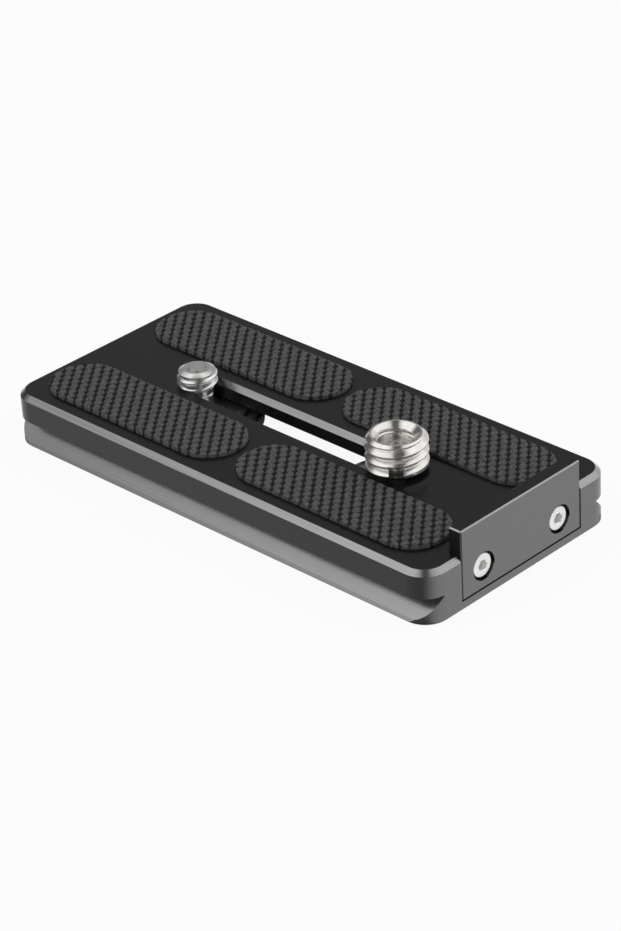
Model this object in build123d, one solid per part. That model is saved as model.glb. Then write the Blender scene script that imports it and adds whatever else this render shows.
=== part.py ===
from build123d import *
import os
from math import atan2, ceil, cos, degrees, hypot, radians, tan

# Quick release plate for a tripod head, in millimetres.
# +X runs along the plate to its stop block, +Y runs across and +Z is up.
# The origin is the centre of the plate's underside.

# Plate
plate_width = 40.2
plate_height = 8.75
corner_radius = 4.0
edge_chamfer = 0.8
slot_mouth_land = 0.001
foot_chamfer = 0.25
web_thickness = 2.7

# Dovetail grooves along both sides
groove_depth = 3.7
groove_top = 4.35
flank_angle = 45
foot_break_depth = 0.2
foot_break_angle = 70

# Stop block in the end of the plate
stop_thickness = 2.4
stop_width = 25.7
stop_rise = 4.1
stop_ledge = 1.45
stop_play = 0.1
stop_chamfer = 0.2

# Socket screws that hold the stop block
stop_screw_spacing = 16.4
stop_screw_height = 5.15
stop_screw_radius = 1.0
stop_screw_length = 7.0
stop_screw_play = 0.05
stop_head_radius = 1.9
stop_head_height = 1.2
stop_head_depth = 0.25
stop_head_play = 0.35
stop_head_chamfer = 0.15
stop_hex_width = 1.5
stop_hex_depth = 0.8

# Rubber pads
pad_length = 38.7
pad_width = 11.3
pad_rise = 0.7
pad_pocket_depth = 0.5
pad_play = 0.05
pad_rim_radius = 0.2
pad_gap = 2.0
pad_end_margin = 2.4
pad_side_margin = 3.1

# Diamond knurl moulded into the pads, and where a crest lies from each pad's centre
knurl_pitch_x = 1.92
knurl_pitch_y = 2.37
knurl_depth = 0.45
knurl_groove_width = 0.9
near_left_crest = (-0.64, 0.17)
near_right_crest = (-0.36, -0.61)
far_left_crest = (0.68, 0.15)
far_right_crest = (-0.59, -0.11)

# Camera screws with a quarter-inch thread, captive in the slot
thread_radius = 3.175
thread_length = 2.5
thread_gap = 0.05
tip_chamfer = 0.25
neck_radius = 2.37
slot_play = 0.08
slot_end_margin = 21.1
slot_stop_margin = 21.4
screw_lift = 1.0
head_radius = 10.0
head_height = 2.8
head_play = 0.5
head_chamfer = 0.4

# Underside of a screw head: a dish with a coin boss and two ring lugs
dish_radius = 8.6
dish_depth = 1.7
coin_boss_radius = 2.8
coin_slot_width = 1.5
coin_slot_depth = 1.3
lug_length = 2.4
lug_thickness = 1.4

# Folding ring in each screw head
ring_radius = 6.0
ring_wire_radius = 0.65
ring_play = 0.08
ring_end_gap = 0.3
ring_bend_radius = 1.0

# Washer between a screw head and the plate
washer_radius = 7.9
washer_thickness = 0.6
washer_gap = 0.05
washer_play = 0.08

# Reducer bush with a three-eighths thread on the right camera screw
bush_radius = 4.7625
bush_height = 5.0
bush_clearance = 0.8
bush_play = 0.05
bush_top_chamfer = 0.3
bush_foot_chamfer = 0.2
bush_sink = 0.5
bush_slot_width = 2.2
bush_slot_depth = 1.9
bush_slot_angle = -49.5

# Places that several pieces share
plate_length = 2 * (pad_length + pad_end_margin) + pad_gap + stop_thickness
plate_end = plate_length / 2
plate_side = plate_width / 2
deck_centre = -stop_thickness / 2
recess_height = plate_height - web_thickness
recess_radius = head_radius + head_play
slot_radius = neck_radius + slot_play
stop_back = plate_end - stop_thickness
stop_foot = stop_ledge + stop_play
stop_top = plate_height + stop_rise
stop_screw_places = (-stop_screw_spacing / 2, stop_screw_spacing / 2)
left_screw_x = slot_end_margin - plate_end
right_screw_x = stop_back - slot_stop_margin
screw_spacing = right_screw_x - left_screw_x
slot_centre = (left_screw_x + right_screw_x) / 2
right_head_top = recess_height - washer_thickness - 2 * washer_gap
left_head_top = right_head_top - screw_lift
left_tip = plate_height + thread_gap + thread_length
right_tip = left_tip + screw_lift
bush_foot = plate_height + bush_clearance
ring_drop = ring_wire_radius + ring_play
pad_top = plate_height + pad_rise
pad_foot = plate_height - pad_pocket_depth
knurl_lean = atan2(knurl_pitch_x, knurl_pitch_y)
knurl_spacing = knurl_pitch_x * cos(knurl_lean)


def upright(radius, foot, top, x=0, y=0):
    """A cylinder along Z between two heights."""
    middle = (foot + top) / 2
    return Pos(x, y, middle) * Cylinder(radius, top - foot)


def stadium(length, width, foot, top, x=0, y=0):
    """A bar along X with half-round ends, between two heights."""
    outline = SlotOverall(length, width)
    return Pos(x, y, foot) * extrude(outline, top - foot)


def side_groove(side):
    """The cut of one dovetail groove: flat on top, a slanted flank, and a steeper break at its foot."""
    outside = plate_side + foot_break_depth
    inside = plate_side - foot_break_depth
    break_top = groove_top - (groove_depth - foot_break_depth) * tan(radians(flank_angle))
    break_foot = break_top - 2 * foot_break_depth * tan(radians(foot_break_angle))
    apex = (side * (plate_side - groove_depth), groove_top)
    corners = [apex, (side * outside, groove_top), (side * outside, break_foot), (side * inside, break_top)]
    profile = Plane.YZ * make_face(Polyline(*corners, close=True))
    return extrude(profile, plate_length, both=True)


def slot_cut():
    """The long slot through the web, with chamfered top edges."""
    through = stadium(
        screw_spacing + 2 * slot_radius, 2 * slot_radius, 0, plate_height, x=slot_centre
    )
    mouth_radius = slot_radius + edge_chamfer
    mouth = stadium(
        screw_spacing + 2 * mouth_radius,
        2 * mouth_radius,
        plate_height - edge_chamfer,
        plate_height,
        x=slot_centre,
    )
    lower_rim = mouth.edges().group_by(Axis.Z)[0]
    return through + chamfer(lower_rim, edge_chamfer - slot_mouth_land)


def base_plate():
    """The machined plate, with its grooves, slot, recess, pockets and notch."""
    outline = RectangleRounded(plate_length, plate_width, corner_radius)
    plate = extrude(outline, plate_height)
    plate = chamfer(plate.edges().group_by(Axis.Z)[-1], edge_chamfer)
    plate = chamfer(plate.edges().group_by(Axis.Z)[0], foot_chamfer)
    plate -= side_groove(-1) + side_groove(1)
    plate -= slot_cut()
    plate -= stadium(
        screw_spacing + 2 * recess_radius, 2 * recess_radius, 0, recess_height, x=slot_centre
    )
    for x, y in pad_places():
        plate -= stadium(
            pad_length + 2 * pad_play, pad_width + 2 * pad_play, pad_foot, pad_top, x, y
        )
    notch_height = stop_top - stop_ledge
    notch_width = stop_width + 2 * stop_play
    notch = Box(2 * stop_thickness, notch_width, notch_height)
    plate -= Pos(plate_end, 0, stop_ledge + notch_height / 2) * notch
    for y in stop_screw_places:
        plate -= stop_screw_bore(stop_screw_radius + stop_screw_play, y)
    return plate


def pad_places():
    """Centres of the four pads, as x and y."""
    x_shift = (pad_length + pad_gap) / 2
    y_shift = plate_side - pad_side_margin - pad_width / 2
    x_places = (deck_centre - x_shift, deck_centre + x_shift)
    return [(x, y) for y in (-y_shift, y_shift) for x in x_places]


def knurl_grooves(lean_side, crest):
    """One family of parallel V grooves across a pad that is centred on Z, halfway between crests."""
    half_width = knurl_groove_width / 2
    reach = hypot(pad_length, pad_width) / 2
    profile = Polyline((-half_width, 0), (half_width, 0), (0, -knurl_depth), close=True)
    groove = extrude(Plane.XZ * make_face(profile), reach, both=True)
    end_centre = (pad_length - pad_width) / 2
    limit = end_centre * cos(knurl_lean) + pad_width / 2 + half_width
    count = ceil(limit / knurl_spacing)
    first = crest[0] / knurl_pitch_x + lean_side * crest[1] / knurl_pitch_y + 0.5
    places = [(i + first % 1) * knurl_spacing for i in range(-count - 1, count + 1)]
    turn = Rot(0, 0, lean_side * degrees(knurl_lean))
    return [turn * Pos(place, 0, pad_top) * groove for place in places if abs(place) < limit]


def grip_pad(x, y, crest):
    """One rubber pad with its knurl, bonded into its shallow pocket."""
    pad = stadium(pad_length, pad_width, pad_foot, pad_top)
    pad = fillet(pad.edges().group_by(Axis.Z)[-1], pad_rim_radius)
    for lean_side in (-1, 1):
        pad = pad.cut(*knurl_grooves(lean_side, crest))
    return Pos(x, y, 0) * pad


def stop_screw_bore(radius, y):
    """A bore for one stop screw, from the plate's end into the plate."""
    depth = stop_head_depth + stop_head_height + stop_screw_length + stop_screw_radius
    bore = Rot(0, 90, 0) * Cylinder(radius, depth)
    return Pos(plate_end - depth / 2, y, stop_screw_height) * bore


def stop_block():
    """The stop block, with counterbored holes for its two screws."""
    height = stop_top - stop_foot
    block = Pos(stop_back + stop_thickness / 2, 0, stop_foot + height / 2)
    block *= Box(stop_thickness, stop_width, height)
    block = chamfer(block.edges(), stop_chamfer)
    sink = stop_head_depth + stop_head_height
    for y in stop_screw_places:
        block -= stop_screw_bore(stop_screw_radius + stop_screw_play, y)
        counterbore = Rot(0, 90, 0) * Cylinder(stop_head_radius + stop_head_play, 2 * sink)
        block -= Pos(plate_end, y, stop_screw_height) * counterbore
    return block


def stop_screw(y):
    """A low socket head screw that lies along X."""
    face = plate_end - stop_head_depth
    head = Cylinder(stop_head_radius, stop_head_height)
    head = chamfer(head.edges().group_by(Axis.Z)[-1], stop_head_chamfer)
    socket = extrude(RegularPolygon(stop_hex_width / 2, 6, major_radius=False), stop_hex_depth)
    head -= Pos(0, 0, stop_head_height / 2 - stop_hex_depth) * socket
    shank = Cylinder(stop_screw_radius, stop_screw_length)
    shank_drop = (stop_head_height + stop_screw_length) / 2
    screw = head + Pos(0, 0, -shank_drop) * shank
    return Pos(face - stop_head_height / 2, y, stop_screw_height) * Rot(0, 90, 0) * screw


def camera_screw(x, head_top, tip):
    """A camera screw: knurled head, neck, run-out cone and thread."""
    head_foot = head_top - head_height
    disc_foot = head_foot + dish_depth
    head = upright(head_radius, head_foot, head_top)
    head = chamfer(head.edges().group_by(Axis.Z)[0], head_chamfer)
    head = chamfer(head.edges().group_by(Axis.Z)[-1], head_chamfer)
    head -= upright(dish_radius, head_foot, disc_foot)
    boss = upright(coin_boss_radius, head_foot, disc_foot)
    coin_slot = Box(2 * coin_boss_radius, coin_slot_width, 2 * coin_slot_depth)
    head += boss - Pos(0, 0, head_foot) * coin_slot
    for side in (-1, 1):
        head += ring_lug(side, head_foot, disc_foot)
    thread_foot = tip - thread_length
    run_out = thread_radius - neck_radius
    shank = upright(neck_radius, head_top, thread_foot)
    cone = Pos(0, 0, thread_foot - run_out / 2) * Cone(neck_radius, thread_radius, run_out)
    thread = upright(thread_radius, thread_foot, tip)
    thread = chamfer(thread.edges().group_by(Axis.Z)[-1], tip_chamfer)
    return Pos(x, 0, 0) * (head + shank + cone + thread)


def lug_place():
    """Distance of a ring lug's middle from the screw's axis."""
    return (coin_boss_radius + ring_radius - ring_wire_radius) / 2


def ring_lug(side, foot, top):
    """A lug in the dish, bored along Y for one end of the folding ring."""
    lug = Box(lug_length, lug_thickness, top - foot)
    lug = Pos(0, side * lug_place(), (foot + top) / 2) * lug
    bore = Rot(90, 0, 0) * Cylinder(ring_wire_radius + ring_play, 2 * lug_thickness)
    return lug - Pos(0, side * lug_place(), top - ring_drop) * bore


def fold_ring(x, head_top):
    """A wire ring, folded into the dish, with its ends turned in to the lugs."""
    level = head_top - head_height + dish_depth - ring_drop
    end = coin_boss_radius + ring_end_gap
    near = Line((0, -end), (0, ring_bend_radius - ring_radius))
    near_bend = JernArc(near @ 1, near % 1, ring_bend_radius, 90)
    bow = JernArc(near_bend @ 1, near_bend % 1, ring_radius, 180)
    far_bend = JernArc(bow @ 1, bow % 1, ring_bend_radius, 90)
    far = Line(far_bend @ 1, (0, end))
    path = near + near_bend + bow + far_bend + far
    section = Plane((0, -end, 0), z_dir=(0, -1, 0)) * Circle(ring_wire_radius)
    return Pos(x, 0, level) * sweep(section, path)


def slide_washer(x, head_top):
    """A flat washer that rides along the slot on a screw's head."""
    foot = head_top + washer_gap
    washer = upright(washer_radius, foot, foot + washer_thickness)
    washer -= upright(neck_radius + washer_play, foot, foot + washer_thickness)
    return Pos(x, 0, 0) * washer


def reducer_bush():
    """The bush on the right screw, with a driver slot across its foot."""
    top = bush_foot + bush_height
    bush = upright(bush_radius, bush_foot, top)
    bush = chamfer(bush.edges().group_by(Axis.Z)[-1], bush_top_chamfer)
    bush = chamfer(bush.edges().group_by(Axis.Z)[0], bush_foot_chamfer)
    bore_radius = thread_radius + bush_play
    bush -= upright(bore_radius, bush_foot, top)
    sink = Cone(bore_radius, bore_radius + bush_sink, bush_sink)
    bush -= Pos(0, 0, top - bush_sink / 2) * sink
    driver_slot = Box(4 * bush_radius, bush_slot_width, 2 * bush_slot_depth)
    bush -= Pos(0, 0, bush_foot) * Rot(0, 0, bush_slot_angle) * driver_slot
    return Pos(right_screw_x, 0, 0) * bush


os.makedirs("parts", exist_ok=True)

near_left, near_right, far_left, far_right = pad_places()
nodes = {
    "base_plate": base_plate(),
    "stop_block": stop_block(),
    "near_stop_screw": stop_screw(stop_screw_places[0]),
    "far_stop_screw": stop_screw(stop_screw_places[1]),
    "near_left_pad": grip_pad(*near_left, near_left_crest),
    "near_right_pad": grip_pad(*near_right, near_right_crest),
    "far_left_pad": grip_pad(*far_left, far_left_crest),
    "far_right_pad": grip_pad(*far_right, far_right_crest),
    "left_camera_screw": camera_screw(left_screw_x, left_head_top, left_tip),
    "right_camera_screw": camera_screw(right_screw_x, right_head_top, right_tip),
    "reducer_bush": reducer_bush(),
    "left_slide_washer": slide_washer(left_screw_x, left_head_top),
    "right_slide_washer": slide_washer(right_screw_x, right_head_top),
    "left_fold_ring": fold_ring(left_screw_x, left_head_top),
    "right_fold_ring": fold_ring(right_screw_x, right_head_top),
}
for name, solid in nodes.items():
    export_step(solid, f"parts/{name}.step")
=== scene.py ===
from math import cos, pi, radians, sin

import bmesh
import bpy
import numpy as np
from mathutils import Matrix, Vector


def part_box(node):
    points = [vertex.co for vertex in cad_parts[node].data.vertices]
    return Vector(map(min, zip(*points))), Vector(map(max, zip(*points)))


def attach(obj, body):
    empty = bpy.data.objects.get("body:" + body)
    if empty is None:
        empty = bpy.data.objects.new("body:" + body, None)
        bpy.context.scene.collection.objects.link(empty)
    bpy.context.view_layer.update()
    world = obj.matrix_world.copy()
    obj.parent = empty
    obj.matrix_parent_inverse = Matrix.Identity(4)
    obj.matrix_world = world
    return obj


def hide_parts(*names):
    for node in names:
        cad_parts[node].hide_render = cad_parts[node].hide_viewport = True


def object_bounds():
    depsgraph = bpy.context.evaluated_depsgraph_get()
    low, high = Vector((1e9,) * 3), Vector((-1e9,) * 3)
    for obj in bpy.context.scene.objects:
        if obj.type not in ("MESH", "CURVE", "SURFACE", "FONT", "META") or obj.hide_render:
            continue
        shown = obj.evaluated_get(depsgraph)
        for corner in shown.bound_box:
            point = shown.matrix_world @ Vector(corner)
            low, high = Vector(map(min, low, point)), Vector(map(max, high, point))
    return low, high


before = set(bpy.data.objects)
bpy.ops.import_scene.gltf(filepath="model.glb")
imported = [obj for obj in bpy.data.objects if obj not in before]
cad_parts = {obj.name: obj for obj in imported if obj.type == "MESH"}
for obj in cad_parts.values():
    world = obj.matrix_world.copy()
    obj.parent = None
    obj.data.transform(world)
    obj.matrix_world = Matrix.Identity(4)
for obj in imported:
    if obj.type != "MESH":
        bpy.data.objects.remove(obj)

# A machined quick release plate, seen from its near right corner.
# +X runs to the stop block, +Y across the plate, +Z up. MM turns millimetres into metres.
MM = 0.001
weld_distance = 0.0002 * MM
cad_low, cad_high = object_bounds()

# Threads
# The shares are of one pitch, and a turn says where round its axis a thread starts.
quarter_radius = 3.175 * MM
quarter_root = 2.40 * MM
quarter_pitch = 1.27 * MM
three_eighths_radius = 4.7625 * MM
three_eighths_root = 3.95 * MM
three_eighths_pitch = 1.5875 * MM
left_thread_turn = 0.08
right_thread_turn = 0.2
bush_thread_turn = 0.34
thread_rows = 30
crest_share = 0.055
root_share = 0.435
corner_share = 0.055
thread_soft = 0.025 * MM

# Camera screws
neck_radius = 2.37 * MM
head_radius = 10.0 * MM
head_height = 2.8 * MM
head_chamfer = 0.4 * MM
head_lip = 0.15 * MM
dish_radius = 8.6 * MM
dish_depth = 1.7 * MM
boss_radius = 2.8 * MM
coin_slot_width = 1.5 * MM
coin_slot_depth = 1.3 * MM
lug_reach = 4.075 * MM
lug_length = 2.4 * MM
lug_thickness = 1.4 * MM
lug_lift = 0.1 * MM
lug_bore_around = 32
ring_wire = 0.65 * MM
ring_play = 0.08 * MM
knurl_teeth = 72
knurl_depth = 0.22 * MM
knurl_step = 0.4 * MM
neck_thread_root = 2.1 * MM
neck_thread_drop = 4.4 * MM
full_thread_length = 2.5 * MM
tip_groove_outer = 1.75 * MM
tip_groove_inner = 1.30 * MM
tip_groove_depth = 0.09 * MM
tip_groove_slope = 0.25 * MM
tip_groove_round = 0.06 * MM
tip_groove_margin = 0.01 * MM
# How dark the tip's groove is painted, as painted shade.
tip_groove_painted_shade = 0.6
tip_button_edge = 0.05 * MM
tip_button_drop = 0.01 * MM
tip_centre_drop = 0.02 * MM
tip_face_radius = 2.05 * MM
tip_face_edge = 0.05 * MM
tip_face_drop = 0.04 * MM
tip_land_radius = 2.87 * MM
tip_cone_drop = 0.42 * MM
tip_land_drop = 0.56 * MM
screw_around = 216

# Reducer bush
bore_radius = 3.225 * MM
bore_crest = 2.72 * MM
bore_play = 0.05 * MM
bush_top_chamfer = 0.85 * MM
bush_foot_land = 0.22 * MM
bush_foot_inset = 0.08 * MM
bush_sink = 0.4 * MM
driver_slot_width = 2.2 * MM
driver_slot_depth = 1.9 * MM
driver_slot_angle = radians(-49.5)
bush_around = 160

# Stop screws
stop_screw_radius = 1.0 * MM
stop_screw_chamfer = 0.2 * MM
stop_head_radius = 1.9 * MM
stop_head_height = 1.2 * MM
stop_rim_round = 0.22 * MM
stop_rim_steps = 6
hex_width = 1.5 * MM
hex_depth = 0.8 * MM
hex_chamfer = 0.1 * MM
hex_floor_share = 0.6
hex_floor_drop = 0.05 * MM
hex_point_drop = 0.2 * MM
stop_screw_around = 96

# Pads, and where a crest of the knurl lies from each pad's centre
knurl_pitch_x = 1.92 * MM
knurl_pitch_y = 2.37 * MM
knurl_groove_depth = 0.45 * MM
knurl_half_width = 0.55 * MM
knurl_groove_shape = 1.3
pad_rim_round = 0.15 * MM
pad_rim_steps = 4
pad_border = 0.2 * MM
pad_border_depth = 0.5
pad_border_tone = 0.7
pad_step = 0.13 * MM
pad_crests = {
    "near_left_pad": (-0.64 * MM, 0.17 * MM),
    "near_right_pad": (-0.36 * MM, -0.61 * MM),
    "far_left_pad": (0.68 * MM, 0.15 * MM),
    "far_right_pad": (-0.59 * MM, -0.11 * MM),
}

# Turns, in degrees, from which an edge stays sharp
thread_edge = 35
socket_edge = 30
pad_edge = 60

# Camera and image
image_width, image_height = 621, 931
focal_pixels = 3176.24
sensor_size = 36
camera_azimuth = radians(45.50)
camera_elevation = radians(29.94)
camera_roll = radians(-3.31)
camera_distance = 472.05 * MM
camera_aim = Vector((4.76, -3.25, 5.15)) * MM

# Floor, lamps and light tent
floor_reach = 4.0
floor_gap = 0.05 * MM
floor_level = 0.86
floor_glow = 0.93
table_radius = 0.2
far_floor_share = 0.05
left_turn, right_turn = radians(84), radians(95)
lamp_distance = 0.55
side_rise = radians(38)
tent_level, crown_level, wall_level, dark_level = 0.86, 1.2, 0.30, 0.02
left_end_level = 3 * dark_level
wall_rise = radians(32)
left_end_turn = radians(125)
gap_width, gap_edge = 0.19, 1.6


# Mesh tools

def once_round(count):
    """Evenly spaced angles, once round."""
    return np.linspace(0, 2 * pi, count, endpoint=False)


def quarter_turns(count):
    """Evenly spaced angles from 0 to 90 degrees, both ends included."""
    return [step / count * pi / 2 for step in range(count + 1)]


def levels(low, high, step):
    """Evenly spaced heights, both ends included."""
    return np.linspace(low, high, max(2, int(round((high - low) / step)) + 1))


def axis_of(node_name):
    """Where a turned node's upright axis stands."""
    low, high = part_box(node_name)
    return ((low.x + high.x) / 2, (low.y + high.y) / 2, 0)


def skin(name, rows, ring=False):
    """A closed mesh through rows of points that each run once round. In a ring, the last joins the first."""
    grid = np.asarray(rows, float)
    count, around = grid.shape[:2]
    index = np.arange(count * around).reshape(count, around)
    below = index if ring else index[:-1]
    above = np.roll(index, -1, axis=0) if ring else index[1:]
    corners = (below, np.roll(below, -1, 1), np.roll(above, -1, 1), above)
    faces = np.stack(corners, -1).reshape(-1, 4)
    mesh = bpy.data.meshes.new(name)
    mesh.from_pydata(grid.reshape(-1, 3).tolist(), [], faces.tolist())
    work = bmesh.new()
    work.from_mesh(mesh)
    bmesh.ops.remove_doubles(work, verts=work.verts, dist=weld_distance)
    bmesh.ops.recalc_face_normals(work, faces=work.faces)
    work.to_mesh(mesh)
    work.free()
    piece = bpy.data.objects.new(name, mesh)
    bpy.context.scene.collection.objects.link(piece)
    return piece


def turned(name, profile, around, ring=False):
    """A turned piece about Z. Its profile is a list of (radius, height), and either may change round it."""
    angle = once_round(around)
    rows = []
    for radius, height in profile:
        radius = np.broadcast_to(radius, angle.shape)
        height = np.broadcast_to(height, angle.shape)
        rows.append(np.stack((radius * np.cos(angle), radius * np.sin(angle), height), -1))
    return skin(name, rows, ring)


def block(name, centre, size, turn=0):
    """A plain box that cuts or joins another piece."""
    half = Vector(size) / 2
    loop = ((-1, -1), (1, -1), (1, 1), (-1, 1))
    rows = []
    for reach, level in ((0, -1), (1, -1), (1, 1), (0, 1)):
        points = [Vector((x * half.x * reach, y * half.y * reach, level * half.z)) for x, y in loop]
        rows.append([Matrix.Rotation(turn, 3, "Z") @ p + Vector(centre) for p in points])
    return skin(name, rows)


def combine(piece, tool, operation):
    """Cuts the tool out of the piece, or joins it, and keeps only the piece."""
    boolean = piece.modifiers.new(operation, "BOOLEAN")
    boolean.operation = operation
    boolean.solver = "EXACT"
    boolean.object = tool
    bpy.context.view_layer.update()
    graph = bpy.context.evaluated_depsgraph_get()
    made = bpy.data.meshes.new_from_object(piece.evaluated_get(graph))
    piece.modifiers.clear()
    piece.data = made
    bpy.data.objects.remove(tool)


def place(piece, matrix):
    """Moves a piece's mesh, so that its place is in its points."""
    piece.data.transform(matrix)


def shade(piece, angle):
    """Smooth faces, with sharp edges where they turn by more than the angle, in degrees."""
    piece.data.polygons.foreach_set("use_smooth", [True] * len(piece.data.polygons))
    piece.data.set_sharp_from_angle(angle=radians(angle))


def points_of(piece):
    """The points of a piece's mesh, with x, y and z of each in one row."""
    places = np.zeros(len(piece.data.vertices) * 3)
    piece.data.vertices.foreach_get("co", places)
    return places.reshape(-1, 3)


def mark(piece, attribute, values):
    """Stores a value at each point of a piece's mesh, which its material reads by that name."""
    layer = piece.data.attributes.new(attribute, "FLOAT", "POINT")
    layer.data.foreach_set("value", values.astype(np.float32))


def fit(piece, body, slot, material, *nodes):
    """Gives a piece its material and its body, and hides the solids that it stands for."""
    piece.data.materials.clear()
    piece.data.materials.append(material)
    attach(piece, body)
    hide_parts(*nodes)


# Shader tools

def node(tree, kind, **values):
    """One shader node. A value goes to the input of that name, or to the node itself."""
    made = tree.nodes.new("ShaderNode" + kind)
    for key, value in values.items():
        name = key.replace("_", " ")
        if name in made.inputs:
            made.inputs[name].default_value = value
        else:
            setattr(made, key, value)
    return made


def math_node(tree, operation, *inputs):
    """A Math node whose inputs are numbers or sockets."""
    made = node(tree, "Math", operation=operation)
    for socket, value in zip(made.inputs, inputs):
        if isinstance(value, (int, float)):
            socket.default_value = value
        else:
            tree.links.new(value, socket)
    return made.outputs[0]


def spread(tree, value, low, high, to_low=0.0, to_high=1.0, smooth=True):
    """A Map Range node, smooth by default."""
    made = node(tree, "MapRange", interpolation_type="SMOOTHSTEP" if smooth else "LINEAR")
    tree.links.new(value, made.inputs["Value"])
    for name, number in (("From Min", low), ("From Max", high), ("To Min", to_low), ("To Max", to_high)):
        made.inputs[name].default_value = number
    return made.outputs["Result"]


def mix_colour(tree, share, a, b):
    """A colour between a and b. Each is a colour or a socket."""
    made = node(tree, "Mix", data_type="RGBA")
    tree.links.new(share, made.inputs["Factor"])
    for name, value in (("A", a), ("B", b)):
        socket = next(s for s in made.inputs if s.name == name and s.type == "RGBA")
        if isinstance(value, tuple):
            socket.default_value = value
        else:
            tree.links.new(value, socket)
    return next(s for s in made.outputs if s.type == "RGBA")


def grey(level, warmth=0.0):
    """A grey, a little warmer for a positive warmth."""
    return (level * (1 + warmth), level, level * (1 - 1.6 * warmth), 1.0)


def group(name, inputs, outputs):
    """An empty shader node group with named sockets."""
    tree = bpy.data.node_groups.new(name, "ShaderNodeTree")
    for socket, kind, value in inputs:
        made = tree.interface.new_socket(socket, in_out="INPUT", socket_type="NodeSocket" + kind)
        made.default_value = value
    for socket, kind in outputs:
        tree.interface.new_socket(socket, in_out="OUTPUT", socket_type="NodeSocket" + kind)
    source = tree.nodes.new("NodeGroupInput")
    sink = tree.nodes.new("NodeGroupOutput")
    return tree, source.outputs, sink.inputs


def use(tree, shared, **values):
    """Places a shared group in a material, with its own values."""
    made = tree.nodes.new("ShaderNodeGroup")
    made.node_tree = shared
    for key, value in values.items():
        made.inputs[key.replace("_", " ")].default_value = value
    return made.outputs


def fine_grain_group():
    """Grain of a blasted or moulded surface: a tone that drifts and a fine height. Sizes are in mm."""
    tree, given, out = group(
        "fine_grain",
        (("Grain Size", "Float", 0.2), ("Drift Size", "Float", 6.0)),
        (("Tone", "Float"), ("Height", "Float")),
    )
    place_of = node(tree, "TexCoord")
    grain = node(tree, "TexNoise", Detail=3.0, Roughness=0.6)
    drift = node(tree, "TexNoise", Detail=4.0, Roughness=0.55)
    for texture, size in ((grain, given["Grain Size"]), (drift, given["Drift Size"])):
        tree.links.new(place_of.outputs["Object"], texture.inputs["Vector"])
        tree.links.new(math_node(tree, "DIVIDE", 1 / MM, size), texture.inputs["Scale"])
    tree.links.new(drift.outputs["Fac"], out["Tone"])
    tree.links.new(grain.outputs["Fac"], out["Height"])
    return tree


def turning_lines_group():
    """Fine rings that a lathe leaves round an upright axis, on faces and sides. The pitch is in mm."""
    tree, given, out = group(
        "turning_lines",
        (("Axis", "Vector", (0, 0, 0)), ("Line Pitch", "Float", 0.12)),
        (("Height", "Float"), ("Tone", "Float")),
    )
    place_of = node(tree, "TexCoord")
    shifted = node(tree, "VectorMath", operation="SUBTRACT")
    tree.links.new(place_of.outputs["Object"], shifted.inputs[0])
    tree.links.new(given["Axis"], shifted.inputs[1])
    flat = node(tree, "VectorMath", operation="MULTIPLY")
    tree.links.new(shifted.outputs["Vector"], flat.inputs[0])
    flat.inputs[1].default_value = (1, 1, 0)
    reach = node(tree, "VectorMath", operation="LENGTH")
    tree.links.new(flat.outputs["Vector"], reach.inputs[0])
    parts = node(tree, "SeparateXYZ")
    tree.links.new(shifted.outputs["Vector"], parts.inputs[0])
    along = math_node(tree, "ADD", reach.outputs["Value"], parts.outputs["Z"])
    count = math_node(tree, "DIVIDE", math_node(tree, "MULTIPLY", along, 1 / MM), given["Line Pitch"])
    wobble = node(tree, "TexNoise", noise_dimensions="1D", Scale=1.0, Detail=2.0)
    tree.links.new(count, wobble.inputs["W"])
    tree.links.new(wobble.outputs["Fac"], out["Height"])
    slow = node(tree, "TexNoise", noise_dimensions="1D", Scale=0.23, Detail=1.0)
    tree.links.new(count, slow.inputs["W"])
    tree.links.new(slow.outputs["Fac"], out["Tone"])
    return tree


def machined_faces_group():
    """Masks of the plate's bevels and end faces, the lines (pitch in mm) of its cut faces, and painted light:
    lighter towards +X, with painted shade low down.
    """
    tree, given, out = group(
        "machined_faces",
        (("Cut Pitch", "Float", 0.3),),
        (("Bevel", "Float"), ("End", "Float"), ("Cut Lines", "Float"), ("Painted Light", "Float")),
    )
    place_of = node(tree, "TexCoord")
    way = node(tree, "SeparateXYZ")
    tree.links.new(place_of.outputs["Normal"], way.inputs[0])
    # A flat face has an up of 1 and an upright face 0. The bevels and flanks lie between.
    up = math_node(tree, "ABSOLUTE", way.outputs["Z"])
    rise = spread(tree, up, 0.2, 0.32)
    fall = spread(tree, up, 0.85, 0.95, 1.0, 0.0)
    tree.links.new(math_node(tree, "MULTIPLY", rise, fall), out["Bevel"])
    # End picks the faces that look along X, which the material paints lighter as painted light.
    along = math_node(tree, "ABSOLUTE", way.outputs["X"])
    tree.links.new(spread(tree, along, 0.55, 0.99), out["End"])
    spot = node(tree, "SeparateXYZ")
    tree.links.new(place_of.outputs["Object"], spot.inputs[0])
    total = math_node(tree, "ADD", spot.outputs["X"], spot.outputs["Y"])
    lean = 0.012
    leant = math_node(tree, "MULTIPLY_ADD", total, lean, spot.outputs["Z"])
    count = math_node(tree, "DIVIDE", math_node(tree, "MULTIPLY", leant, 1 / MM), given["Cut Pitch"])
    # Painted light and shade: the cut faces grow lighter towards +X, and darker below 4 to 6 mm.
    painted_light = spread(tree, spot.outputs["X"], -30 * MM, 45 * MM, 0.72, 1.08, smooth=False)
    painted_shade_low = spread(tree, spot.outputs["Z"], 4 * MM, 6 * MM, 0.87, 1.0)
    tree.links.new(math_node(tree, "MULTIPLY", painted_light, painted_shade_low), out["Painted Light"])
    lines = node(tree, "TexNoise", noise_dimensions="1D", Scale=1.0, Detail=2.0)
    tree.links.new(count, lines.inputs["W"])
    tree.links.new(lines.outputs["Fac"], out["Cut Lines"])
    return tree


def new_material(name):
    """A new material with its node tree and its Principled shader."""
    made = bpy.data.materials.new(name)
    made.use_nodes = True
    shader = made.node_tree.nodes["Principled BSDF"]
    return made, made.node_tree, shader


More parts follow.
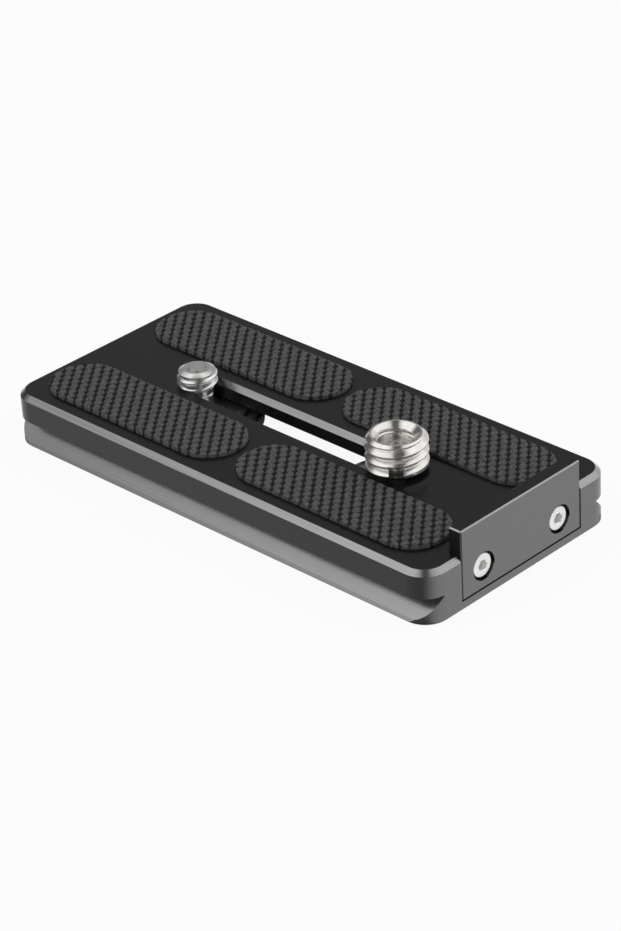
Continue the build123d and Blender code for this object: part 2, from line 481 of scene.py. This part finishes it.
def bump(tree, shader, height, depth, normal=None):
    """Feeds a height from 0 to 1 to the shader's normal, as relief of a depth in metres."""
    made = node(tree, "Bump", Strength=1.0, Distance=depth)
    tree.links.new(height, made.inputs["Height"])
    if normal is not None:
        tree.links.new(normal, made.inputs["Normal"])
    tree.links.new(made.outputs["Normal"], shader.inputs["Normal"])


def black_anodised():
    """Satin black anodising, brighter on the cut bevels and flanks, with painted light on the end faces."""
    made, tree, shader = new_material("black_anodised")
    masks = use(tree, machined_faces, Cut_Pitch=0.14)
    grain = use(tree, fine_grain, Grain_Size=0.12, Drift_Size=9.0)
    body = mix_colour(tree, grain["Tone"], grey(0.004), grey(0.007))
    # Painted light: faces that look along X get a lighter colour than the long sides.
    end = mix_colour(tree, grain["Tone"], grey(0.165), grey(0.182))
    # The bevels' cut lines, brightened or darkened by the painted light.
    lines = math_node(tree, "MULTIPLY", spread(tree, masks["Cut Lines"], 0.3, 0.7, 0.83, 1.02), masks["Painted Light"])
    black, bare_metal = grey(0.0), grey(0.36)
    bevel = mix_colour(tree, lines, black, bare_metal)
    ended = mix_colour(tree, masks["End"], body, end)
    tree.links.new(mix_colour(tree, masks["Bevel"], ended, bevel), shader.inputs["Base Color"])
    shine = math_node(tree, "MAXIMUM", masks["Bevel"], masks["End"])
    tree.links.new(spread(tree, shine, 0, 1, 0.0, 0.95, smooth=False), shader.inputs["Metallic"])
    tree.links.new(spread(tree, grain["Tone"], 0, 1, 0.22, 0.32), shader.inputs["Roughness"])
    shader.inputs["Specular IOR Level"].default_value = 0.38
    edge = node(tree, "Bevel", Radius=0.08 * MM)
    bump(tree, shader, grain["Height"], 0.002 * MM, edge.outputs["Normal"])
    return made


def bright_steel(name, level, warmth, rough, axis=(0, 0, 0)):
    """Plated steel with fine turning lines about an upright axis, and painted shade where its mesh marks it.
    """
    made, tree, shader = new_material(name)
    lines = use(tree, turning_lines, Axis=axis, Line_Pitch=0.09)
    grain = use(tree, fine_grain, Grain_Size=0.06, Drift_Size=1.4)
    share = math_node(tree, "MULTIPLY", lines["Tone"], grain["Tone"])
    stained, clean = grey(level * 0.93, warmth), grey(level * 1.04, warmth)
    plated = mix_colour(tree, spread(tree, share, 0.1, 0.4), stained, clean)
    # Painted shade: points marked as in shade, such as a screw tip's groove, are painted near black.
    painted_shade_share = node(tree, "Attribute", attribute_name="painted_groove_shade").outputs["Fac"]
    painted_shade_colour = grey(0.05)
    tree.links.new(mix_colour(tree, painted_shade_share, plated, painted_shade_colour), shader.inputs["Base Color"])
    shader.inputs["Metallic"].default_value = 0.9
    tree.links.new(spread(tree, grain["Tone"], 0, 1, rough - 0.05, rough + 0.07), shader.inputs["Roughness"])
    bump(tree, shader, lines["Height"], 0.0006 * MM)
    return made


def pad_rubber():
    """Matt moulded rubber, with painted shade in its knurl grooves and painted light on its crests, flecked
    at random.
    """
    made, tree, shader = new_material("pad_rubber")
    grain = use(tree, fine_grain, Grain_Size=0.16, Drift_Size=5.0)
    deep = node(tree, "Attribute", attribute_name="deep_groove_shade").outputs["Fac"]
    cross = node(tree, "Attribute", attribute_name="cross_groove_shade").outputs["Fac"]
    # Painted shade: the deep grooves are painted darker than the cross grooves, as the side lamps would shade
    # them.
    cross_shade_weight = 0.7
    both = math_node(tree, "MULTIPLY_ADD", cross, cross_shade_weight, deep)
    crest = spread(tree, both, 0.3, 1.0, 1.0, 0.0)
    speck = spread(tree, grain["Height"], 0.38, 0.66)
    painted_light = math_node(tree, "MULTIPLY", crest, spread(tree, speck, 0, 1, 0.3, 1.45))
    dark, light = grey(0.006), grey(0.148)
    tree.links.new(mix_colour(tree, painted_light, dark, light), shader.inputs["Base Color"])
    tree.links.new(spread(tree, grain["Tone"], 0, 1, 0.62, 0.8), shader.inputs["Roughness"])
    shader.inputs["Specular IOR Level"].default_value = 0.3
    bump(tree, shader, grain["Height"], 0.05 * MM)
    return made


# Shapes

def thread_radius(height, angle, pitch, root, crest, turn):
    """Radius of a right-hand 60 degree thread, with small rounds at its crests and roots."""
    turns = height / pitch - angle / (2 * pi) - turn
    away = np.abs(turns - np.round(turns))
    flank = root_share - crest_share

    def area(reach):
        rise = np.clip(reach - crest_share, 0, flank)
        return rise ** 2 / (2 * flank) + np.maximum(reach - root_share, 0)

    share = (area(away + corner_share) - area(away - corner_share)) / (2 * corner_share)
    return crest + (root - crest) * share


def lesser(a, b):
    """The lesser of two radii, with a small round where they cross."""
    return -thread_soft * np.logaddexp(-a / thread_soft, -b / thread_soft)


def camera_screw(name, node_name, turn):
    """A camera screw: dished and knurled head, neck, thread and crowned tip."""
    low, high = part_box(node_name)
    foot, tip = low.z, high.z
    head_top = foot + head_height
    disc = foot + dish_depth
    angle = once_round(screw_around)
    knurl = knurl_depth * (0.5 - 0.5 * np.cos(knurl_teeth * angle))
    profile = [
        (0, foot), (boss_radius - head_lip, foot), (boss_radius, foot + head_lip), (boss_radius, disc),
        (dish_radius, disc), (dish_radius, foot + head_lip), (dish_radius + head_lip, foot),
        (head_radius - head_chamfer, foot), (head_radius - head_chamfer / 2, foot + head_chamfer / 2),
    ]
    for z in levels(foot + head_chamfer, head_top - head_chamfer, knurl_step):
        profile.append((head_radius - knurl, z))
    profile += [
        (head_radius - head_chamfer / 2, head_top - head_chamfer / 2),
        (head_radius - head_chamfer, head_top), (neck_radius + head_lip, head_top),
        (neck_radius, head_top + head_lip),
    ]
    run_out = quarter_radius - neck_radius
    thread_foot = tip - full_thread_length
    land = tip - tip_land_drop
    for z in levels(tip - neck_thread_drop, tip - tip_cone_drop, quarter_pitch / thread_rows):
        into_thread = max(0.0, z - thread_foot + run_out)
        root = neck_thread_root + (quarter_root - neck_thread_root) * min(1.0, into_thread / run_out)
        radius = thread_radius(z, angle, quarter_pitch, root, quarter_radius, turn)
        crown = tip_land_radius + max(0.0, land - z)
        radius = lesser(radius, min(neck_radius + into_thread, crown))
        if z > land:
            radius = -lesser(-radius, -tip_land_radius)
        profile.append((radius, z))
    groove_floor = tip - tip_groove_depth
    profile += [
        (tip_face_radius + tip_face_edge, tip - tip_face_drop), (tip_face_radius - tip_face_edge, tip),
        (tip_groove_outer, tip), (tip_groove_outer - tip_groove_slope, groove_floor),
        (tip_groove_inner + tip_groove_round, groove_floor), (tip_groove_inner, tip - tip_button_drop),
        (tip_groove_inner - tip_button_edge, tip), (0, tip - tip_centre_drop),
    ]
    screw = turned(name, profile, screw_around)
    # Painted shade: the tip's groove is marked to be painted dark.
    reach = np.hypot(*points_of(screw)[:, :2].T)
    beyond_button = reach > tip_groove_inner - tip_groove_margin
    within_groove = reach < tip_groove_inner + tip_groove_round + tip_groove_margin
    mark(screw, "painted_groove_shade", tip_groove_painted_shade * (beyond_button & within_groove))
    slot_box = (3 * boss_radius, coin_slot_width, 2 * coin_slot_depth)
    combine(screw, block("coin_slot", (0, 0, foot), slot_box), "DIFFERENCE")
    bore = ring_wire + ring_play
    bore_profile = [(0, -lug_thickness), (bore, -lug_thickness), (bore, lug_thickness), (0, lug_thickness)]
    for side in (-1, 1):
        centre = (0, side * lug_reach, (foot + disc) / 2 + lug_lift)
        combine(screw, block("lug", centre, (lug_length, lug_thickness, disc - foot)), "UNION")
        drill = turned("lug_bore", bore_profile, lug_bore_around)
        stand = Matrix.Translation((0, side * lug_reach, disc - bore))
        place(drill, stand @ Matrix.Rotation(pi / 2, 4, "X"))
        combine(screw, drill, "DIFFERENCE")
    place(screw, Matrix.Translation(axis_of(node_name)))
    shade(screw, thread_edge)
    return screw


def reducer_bush(name, node_name):
    """The bush: three-eighths thread outside, quarter-inch thread inside, driver slot below."""
    low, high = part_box(node_name)
    foot, top = low.z, high.z
    angle = once_round(bush_around)
    profile = []
    for z in levels(foot, top, three_eighths_pitch / thread_rows):
        radius = thread_radius(z, angle, three_eighths_pitch, three_eighths_root, three_eighths_radius,
                               bush_thread_turn)
        limit = three_eighths_radius - max(0.0, z - (top - bush_top_chamfer))
        land = three_eighths_radius - bush_foot_inset if z < foot + bush_foot_land else 0.0
        profile.append((np.maximum(np.minimum(radius, limit), land), z))
    sink_radius = bore_radius + bush_sink
    for z in levels(top, foot, -quarter_pitch / thread_rows):
        radius = thread_radius(z, angle, quarter_pitch, quarter_root, quarter_radius, right_thread_turn)
        radius = np.clip(radius + bore_play, bore_crest, bore_radius)
        profile.append((np.maximum(radius, sink_radius - (top - z)), z))
    bush = turned(name, profile, bush_around, ring=True)
    slot_box = (4 * three_eighths_radius, driver_slot_width, 2 * driver_slot_depth)
    combine(bush, block("driver_slot", (0, 0, foot), slot_box, driver_slot_angle), "DIFFERENCE")
    place(bush, Matrix.Translation(axis_of(node_name)))
    shade(bush, thread_edge)
    return bush


def stop_screw(name, node_name):
    """A low socket head screw, with a rounded rim and a hexagon socket. It is turned with its face at 0."""
    low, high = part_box(node_name)
    length = high.x - low.x
    sector = pi / 3
    from_flat = (once_round(stop_screw_around) + sector / 2) % sector - sector / 2
    hexagon = hex_width / 2 / np.cos(from_flat)
    profile = [
        (0, -length), (stop_screw_radius - stop_screw_chamfer, -length),
        (stop_screw_radius, stop_screw_chamfer - length),
        (stop_screw_radius, -stop_head_height), (stop_head_radius, -stop_head_height),
    ]
    for turn in quarter_turns(stop_rim_steps):
        inset = stop_rim_round * (1 - cos(turn))
        drop = stop_rim_round * (1 - sin(turn))
        profile.append((stop_head_radius - inset, -drop))
    profile += [
        (hexagon + hex_chamfer, 0), (hexagon, -hex_chamfer), (hexagon, -hex_depth),
        (hexagon * hex_floor_share, -hex_depth - hex_floor_drop), (0, -hex_depth - hex_point_drop),
    ]
    screw = turned(name, profile, stop_screw_around)
    middle = (low + high) / 2
    place(screw, Matrix.Translation((high.x, middle.y, middle.z)) @ Matrix.Rotation(pi / 2, 4, "Y"))
    shade(screw, socket_edge)
    return screw


def groove_share(x, y, lean_side):
    """How deep one family of knurl grooves is: 1 along a groove, 0 between two. A crest lies at 0, 0."""
    count = x / knurl_pitch_x + lean_side * y / knurl_pitch_y + 0.5
    spacing = knurl_pitch_x * knurl_pitch_y / np.hypot(knurl_pitch_x, knurl_pitch_y)
    away = np.abs(count - np.round(count)) * spacing
    return np.clip(1 - away / knurl_half_width, 0, 1) ** knurl_groove_shape


def grip_pad(name, node_name):
    """One rubber pad: knurled top, rounded rim and plain sides, with the painted shade of its grooves."""
    low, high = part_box(node_name)
    middle = (low + high) / 2
    radius = (high.y - low.y) / 2
    straight = (high.x - low.x) / 2 - radius
    arc_count = int(pi * radius / pad_step)
    line_count = int(2 * straight / pad_step)
    spine, way = [], []
    for side in (1, -1):
        for i in range(line_count):
            spine.append((side * (straight - 2 * straight * i / line_count), 0))
            way.append((0, side))
        for i in range(arc_count):
            turn = pi / 2 + pi * i / arc_count + (0 if side == 1 else pi)
            spine.append((-side * straight, 0))
            way.append((cos(turn), sin(turn)))
    spine, way = np.array(spine), np.array(way)
    inner = radius - pad_rim_round
    path = [(reach, 0.0) for reach in levels(0, inner, pad_step)]
    for turn in quarter_turns(pad_rim_steps)[1:]:
        path.append((inner + pad_rim_round * sin(turn), pad_rim_round * (1 - cos(turn))))
    rows = []
    for reach, drop in path:
        flat = spine + way * reach
        deep, cross = (groove_share(*(flat - pad_crests[node_name]).T, side) for side in (1, -1))
        inside = min(1.0, (radius - reach) / pad_border)
        border = pad_border_depth + (1 - pad_border_depth) * inside
        depth = knurl_groove_depth * (1 - (1 - deep) * (1 - cross)) * border
        height = high.z - np.maximum(depth, drop)
        rows.append(np.stack((flat[:, 0] + middle.x, flat[:, 1] + middle.y, height), -1))
    rows.append(rows[-1] * (1, 1, 0) + (0, 0, low.z))
    rows.append(np.stack((spine[:, 0] + middle.x, spine[:, 1] + middle.y, np.full(len(spine), low.z)), -1))
    pad = skin(name, rows)
    flat = points_of(pad)[:, :2] - (middle.x, middle.y)
    from_spine = np.hypot(np.maximum(np.abs(flat[:, 0]) - straight, 0), flat[:, 1])
    inside = np.clip((radius - from_spine) / pad_border, 0, 1)
    border = pad_border_tone + (1 - pad_border_tone) * inside
    # Painted shade of each groove family, weaker near the rim.
    for attribute, side in (("deep_groove_shade", 1), ("cross_groove_shade", -1)):
        mark(pad, attribute, groove_share(*(flat - pad_crests[node_name]).T, side) * border)
    shade(pad, pad_edge)
    return pad


# Materials

fine_grain = fine_grain_group()
turning_lines = turning_lines_group()
machined_faces = machined_faces_group()
anodised = black_anodised()
rubber = pad_rubber()
screw_look = {"level": 0.76, "warmth": 0.01, "rough": 0.2}
left_steel = bright_steel("left_screw_steel", **screw_look, axis=axis_of("left_camera_screw"))
right_steel = bright_steel("right_screw_steel", **screw_look, axis=axis_of("right_camera_screw"))
bush_steel = bright_steel("bush_steel", level=0.76, warmth=0.025, rough=0.2, axis=axis_of("reducer_bush"))
stop_steel = bright_steel("stop_screw_steel", level=0.85, warmth=0.01, rough=0.3)
wire_steel = bright_steel("wire_steel", level=0.6, warmth=0.01, rough=0.25)

# Pieces

for name in ("base_plate", "stop_block"):
    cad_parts[name].data.materials[0] = anodised
for name in ("left_fold_ring", "right_fold_ring", "left_slide_washer", "right_slide_washer"):
    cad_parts[name].data.materials[0] = wire_steel

for side, turn, steel in (("left", left_thread_turn, left_steel), ("right", right_thread_turn, right_steel)):
    solid = f"{side}_camera_screw"
    fit(camera_screw(f"{side}_screw_turned", solid, turn), f"{side}_screw", "bright_steel", steel, solid)
fit(reducer_bush("bush_turned", "reducer_bush"), "right_screw", "bright_steel", bush_steel, "reducer_bush")
for side in ("near", "far"):
    solid = f"{side}_stop_screw"
    fit(stop_screw(f"{side}_socket_screw", solid), "plate", "bright_steel", stop_steel, solid)
for place_name in ("near_left", "near_right", "far_left", "far_right"):
    solid = f"{place_name}_pad"
    fit(grip_pad(f"{place_name}_knurled_pad", solid), "plate", "pad_rubber", rubber, solid)


# Stage, lights and camera

def direction(azimuth, elevation):
    """The way from the object towards something at that azimuth and elevation."""
    flat = cos(elevation)
    return Vector((sin(azimuth) * flat, -cos(azimuth) * flat, sin(elevation)))


def floor():
    """A plain white floor. Shiny pieces mirror it as white round the object, not below it or far away."""
    mesh = bpy.data.meshes.new("floor")
    corners = [(x * floor_reach, y * floor_reach, 0) for x, y in ((-1, -1), (1, -1), (1, 1), (-1, 1))]
    mesh.from_pydata(corners, [], [(0, 1, 2, 3)])
    made = bpy.data.objects.new("floor", mesh)
    made.location.z = cad_low.z - floor_gap
    bpy.context.scene.collection.objects.link(made)
    paper, tree, shader = new_material("floor_paper")
    shader.inputs["Base Color"].default_value = grey(floor_level)
    shader.inputs["Roughness"].default_value = 0.9
    shader.inputs["Specular IOR Level"].default_value = 0.0
    place_of = node(tree, "TexCoord")
    spot = node(tree, "SeparateXYZ")
    tree.links.new(place_of.outputs["Object"], spot.inputs[0])
    beyond = []
    for axis, limit in (("X", cad_high.x), ("Y", cad_high.y)):
        away = math_node(tree, "ABSOLUTE", spot.outputs[axis])
        beyond.append(math_node(tree, "GREATER_THAN", away, limit))
    open_floor = math_node(tree, "MAXIMUM", *beyond)
    reach_out = node(tree, "VectorMath", operation="LENGTH")
    tree.links.new(place_of.outputs["Object"], reach_out.inputs[0])
    table = spread(tree, reach_out.outputs["Value"], table_radius, 2 * table_radius, 1.0, far_floor_share)
    path = node(tree, "LightPath")
    open_table = math_node(tree, "MULTIPLY", open_floor, table)
    mirrored = math_node(tree, "MULTIPLY", path.outputs["Is Glossy Ray"], open_table)
    seen = math_node(tree, "MAXIMUM", path.outputs["Is Camera Ray"], mirrored)
    seen = math_node(tree, "MAXIMUM", seen, path.outputs["Is Transmission Ray"])
    glow = node(tree, "Emission", Color=grey(1.0), Strength=1.0)
    blend = node(tree, "MixShader")
    tree.links.new(math_node(tree, "MULTIPLY", seen, floor_glow), blend.inputs["Fac"])
    tree.links.new(shader.outputs["BSDF"], blend.inputs[1])
    tree.links.new(glow.outputs["Emission"], blend.inputs[2])
    tree.links.new(blend.outputs["Shader"], tree.nodes["Material Output"].inputs["Surface"])
    mesh.materials.append(paper)


def softbox(name, azimuth, width, height, radiance):
    """A large lamp that faces the object, of a given radiance."""
    lamp = bpy.data.lights.new(name, "AREA")
    lamp.shape = "RECTANGLE"
    lamp.size, lamp.size_y = width, height
    lamp.energy = radiance * pi * width * height
    made = bpy.data.objects.new(name, lamp)
    away = direction(azimuth, side_rise)
    made.location = camera_aim + away * lamp_distance
    made.rotation_euler = away.to_track_quat("Z", "Y").to_euler()
    bpy.context.scene.collection.objects.link(made)


def room_light():
    """A pale light tent, brighter overhead, dim behind, dark far to the left and at the camera's gap."""
    world = bpy.data.worlds.new("studio")
    world.use_nodes = True
    bpy.context.scene.world = world
    tree = world.node_tree
    place_of = node(tree, "TexCoord")

    def toward(aim):
        """How far a ray runs towards an aim: 1 along it, 0 square to it."""
        made = node(tree, "VectorMath", operation="DOT_PRODUCT")
        tree.links.new(place_of.outputs["Generated"], made.inputs[0])
        made.inputs[1].default_value = aim
        return made.outputs["Value"]

    # Each patch has its way, the cosines where it starts and where it is full, and its level.
    patches = (
        ((0, 0, 1), 0.80, 0.95, crown_level),
        (direction(camera_azimuth + pi, wall_rise), 0.72, 0.93, wall_level),
        (direction(camera_azimuth - left_end_turn, 0), 0.75, 0.9, left_end_level),
    )
    colour = grey(tent_level)
    for way, start, full, level in patches:
        colour = mix_colour(tree, spread(tree, toward(way), start, full), colour, grey(level))
    aside = math_node(tree, "ABSOLUTE", toward(direction(camera_azimuth + pi / 2, 0)))
    ahead = spread(tree, toward(direction(camera_azimuth, 0)), -0.3, -0.1)
    near_camera = spread(tree, aside, gap_width, gap_width * gap_edge, 1.0, 0.0)
    gap = math_node(tree, "MULTIPLY", near_camera, ahead)
    colour = mix_colour(tree, gap, colour, grey(dark_level))
    tree.links.new(colour, tree.nodes["Background"].inputs["Color"])


def camera():
    """The camera, turned and rolled as the photograph was taken."""
    back = direction(camera_azimuth, camera_elevation)
    right = Vector((cos(camera_azimuth), sin(camera_azimuth), 0))
    up = back.cross(right)
    rolled_right = right * cos(camera_roll) + up * sin(camera_roll)
    rolled_up = up * cos(camera_roll) - right * sin(camera_roll)
    data = bpy.data.cameras.new("camera")
    data.sensor_width = sensor_size
    data.lens = focal_pixels * sensor_size / max(image_width, image_height)
    data.clip_start, data.clip_end = 0.01, 20
    made = bpy.data.objects.new("camera", data)
    axes = Matrix((rolled_right, rolled_up, back)).transposed().to_4x4()
    made.matrix_world = Matrix.Translation(camera_aim + back * camera_distance) @ axes
    bpy.context.scene.collection.objects.link(made)
    bpy.context.scene.camera = made


floor()
softbox("left_softbox", camera_azimuth - left_turn, width=0.60, height=0.52, radiance=0.36)
softbox("right_softbox", camera_azimuth + right_turn, width=0.56, height=0.56, radiance=0.28)
room_light()
camera()
bpy.context.scene.view_settings.view_transform = "Standard"
